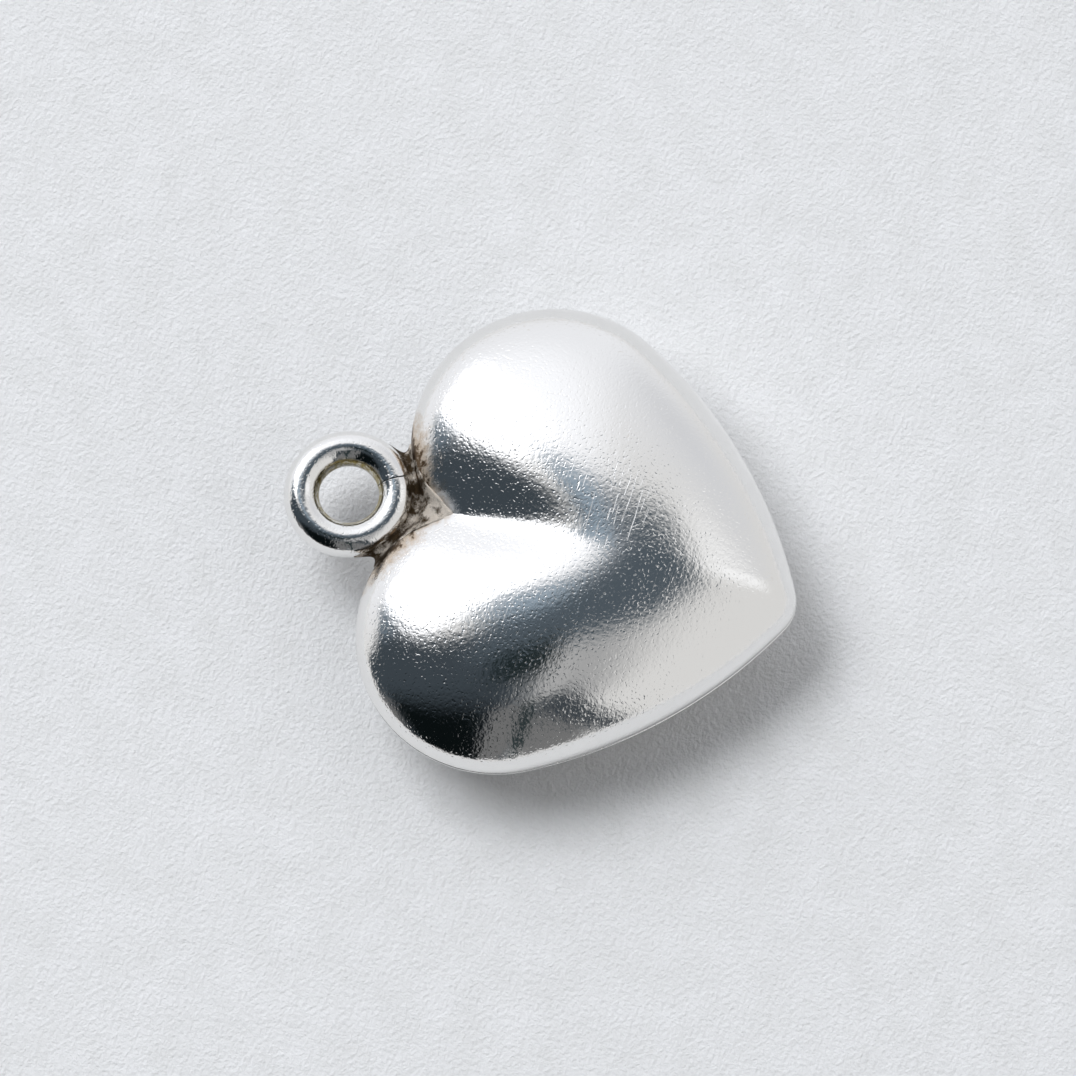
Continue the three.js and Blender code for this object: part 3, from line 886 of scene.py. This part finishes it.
class PENDANT_OT_solder_butt(bpy.types.Operator):
    """Fill the butt joint of the ring with solder"""

    bl_idname = "pendant.solder_butt"
    bl_label = "Solder the butt joint"

    # The solder runs on inside both ends of the wire, just under its skin
    into_wire = 0.05 * MM
    under_skin = 0.001 * MM
    end_round = 0.01 * MM

    def execute(self, context):
        scene = context.scene
        heart = Heart(scene.pendant_heart)
        ring = Ring(scene.pendant_ring, heart)
        half = ring.half_butt + self.into_wire / ring.line
        piece = bend_wire(
            "butt_joint", ring, heart.seam_height, ring.sizes.wire / 2 - self.under_skin,
            ring.butt - half, ring.butt + half, BUTT_STEPS, self.end_round)
        dress(piece, "ring_butt_solder",
              wiped_solder("wiped_solder", scene.pendant_finishes, ring))
        return {"FINISHED"}


class PENDANT_OT_solder_notch(bpy.types.Operator):
    """Flow the solder into the notch and the corners between ring and lobes"""

    bl_idname = "pendant.solder_notch"
    bl_label = "Solder the ring in the notch"

    # The lobes' flanks near the seam are about as round as this
    flank_round = 1.43 * MM
    # Where the solder's mesh ends to each side: round the ring, and along the lobes
    ring_end = radians(86)
    lobe_end = 2.75 * MM
    # Inside the heart the mesh dips below the notch, to take in the pool
    dip = 0.8 * MM
    dip_width = 0.8 * MM
    # Beyond this share of the way across, the solder dives into the metal
    dive_start = 0.55
    dive = 0.22 * MM
    # Lumps are about this large, flatten out where the solder is thinner than this, and differ front to back
    lump_size = 0.32 * MM
    thick_enough = 0.2 * MM
    side_shift = 0.1 * MM
    # No solder stands higher than this over the seam
    highest = 2 * MM
    # The solder starts from a grid of 2 by 2, made a slab this thick
    slab = 0.1

    def execute(self, context):
        scene = context.scene
        self.heart = Heart(scene.pendant_heart)
        self.ring = Ring(scene.pendant_ring, self.heart)
        sizes = self.ring.sizes
        fresh_start()
        bpy.ops.mesh.primitive_grid_add(
            x_subdivisions=SOLDER_ALONG, y_subdivisions=SOLDER_ACROSS, size=2.0)
        piece = named("notch_fillet")
        grid = [(v.co.x, v.co.y) for v in piece.data.vertices]
        edges = {}
        tops = []
        for along, across in grid:
            row = round(across, 5)
            if row not in edges:
                edges[row] = self.outer_edge(across)
            place = self.plan(along * edges[row], across)
            tops.append((place, self.surface(place, across)))
        # The slab's two faces keep the grid's order of points, and are drawn to the solder's surface
        thicken(piece, self.slab, 0.0)
        for vertex in piece.data.vertices:
            side = 1 if vertex.co.z > 0 else -1
            place, top = tops[vertex.index % len(grid)]
            rough = noise.noise(Vector((place.x, place.y, side * self.side_shift)) / self.lump_size)
            lump = sizes.solder_lumps * rough * min(1.0, top / self.thick_enough)
            vertex.co = (place.x, place.y, self.heart.seam_height + side * (top + lump))
        bpy.ops.object.mode_set(mode="EDIT")
        bpy.ops.mesh.select_all(action="SELECT")
        bpy.ops.mesh.remove_doubles(threshold=SAME_SOLDER_POINT)
        bpy.ops.mesh.normals_make_consistent(inside=False)
        bpy.ops.object.mode_set(mode="OBJECT")
        bpy.ops.object.shade_smooth_by_angle(angle=SMOOTH_SOLDER_BELOW)
        dress(piece, "notch_solder",
              tarnished_solder("tarnished_solder", scene.pendant_finishes, self.ring))
        return {"FINISHED"}

    def plan(self, along, across):
        """Place in the seam plane: along runs from web to web, across from in the ring to in the heart."""
        ring, heart = self.ring, self.heart
        turned = self.ring_end * along
        inside = ring.outer - ring.sizes.solder_reach
        near_ring = ring.centre + inside * Vector((sin(turned), -cos(turned)))
        x = self.lobe_end * along
        reach = heart.sizes.lobe_radius - ring.sizes.solder_reach
        deep = self.dip * exp(-((x / self.dip_width) ** 2))
        near_heart = Vector((x, heart.lobe.y + sqrt(reach ** 2 - (abs(x) - heart.lobe.x) ** 2) - deep))
        return near_ring.lerp(near_heart, (across + 1) / 2)

    def outside(self, place, z):
        """Distance outside the solder's surface, which fills the corner between the lobes and the pool in it
        roundly, and the corner along the ring tightly."""
        ring, heart = self.ring, self.heart
        sizes = ring.sizes
        gaps = [hypot((place - ring.pool.xy).length, z) - sizes.pool_radius]
        for side in (1, -1):
            lobe = Vector((side * heart.lobe.x, heart.lobe.y))
            inset = (place - lobe).length - heart.sizes.lobe_radius + self.flank_round
            gaps.append(hypot(max(inset, 0.0), z) - self.flank_round)
        lobes = joined(gaps, sizes.solder_draw)
        wire = hypot((place - ring.centre).length - ring.line, z) - sizes.wire / 2
        draw = sizes.ring_draw + sizes.web_draw * exp(-((z / sizes.web_height) ** 2))
        return joined((lobes, wire), draw) + sizes.solder_sink

    def outer_edge(self, across):
        """How far along the solder reaches before its hollow edge, as a share of the full run."""
        if self.outside(self.plan(1.0, across), 0.0) < 0:
            return 1.0
        low, high = 0.0, 1.0
        for _ in range(EDGE_HALVINGS):
            middle = (low + high) / 2
            if self.outside(self.plan(middle, across), 0.0) < 0:
                low = middle
            else:
                high = middle
        return low

    def surface(self, place, across):
        """Height of the solder over the seam plane; it dives into the metal where it ends inside it."""
        edge = max(0.0, (abs(across) - self.dive_start) / (1 - self.dive_start))
        sink = self.dive * edge * edge
        low, high = 0.0, self.highest
        for _ in range(HEIGHT_HALVINGS):
            middle = (low + high) / 2
            if self.outside(place, middle) + sink < 0:
                low = middle
            else:
                high = middle
        return low


class PENDANT_PT_sidebar(bpy.types.Panel):
    """Steps that make the pendant, in order"""

    bl_idname = "PENDANT_PT_sidebar"
    bl_label = "Heart pendant"
    bl_space_type = "VIEW_3D"
    bl_region_type = "UI"
    bl_category = "Pendant"

    def draw(self, context):
        for operator in STEPS:
            self.layout.operator(operator.bl_idname)
        for name in SETTINGS:
            settings = getattr(context.scene, name)
            box = self.layout.box()
            box.label(text=name.removeprefix("pendant_").capitalize())
            for key in settings.__annotations__:
                box.prop(settings, key)


SETTINGS = {
    "pendant_heart": HeartSizes,
    "pendant_ring": RingSizes,
    "pendant_finishes": Finishes,
    "pendant_stage": StageSettings,
}
STEPS = (
    PENDANT_OT_set_stage,
    PENDANT_OT_press_halves,
    PENDANT_OT_solder_seam,
    PENDANT_OT_bend_ring,
    PENDANT_OT_solder_butt,
    PENDANT_OT_solder_notch,
)


def register():
    for group in SETTINGS.values():
        bpy.utils.register_class(group)
    for step in (*STEPS, PENDANT_PT_sidebar):
        bpy.utils.register_class(step)
    for name, group in SETTINGS.items():
        setattr(bpy.types.Scene, name, bpy.props.PointerProperty(type=group))


def unregister():
    for name in SETTINGS:
        delattr(bpy.types.Scene, name)
    for step in reversed((*STEPS, PENDANT_PT_sidebar)):
        bpy.utils.unregister_class(step)
    for group in reversed(SETTINGS.values()):
        bpy.utils.unregister_class(group)


def main():
    register()
    for step in STEPS:
        family, action = step.bl_idname.split(".")
        getattr(getattr(bpy.ops, family), action)()


if __name__ == "__main__":
    main()
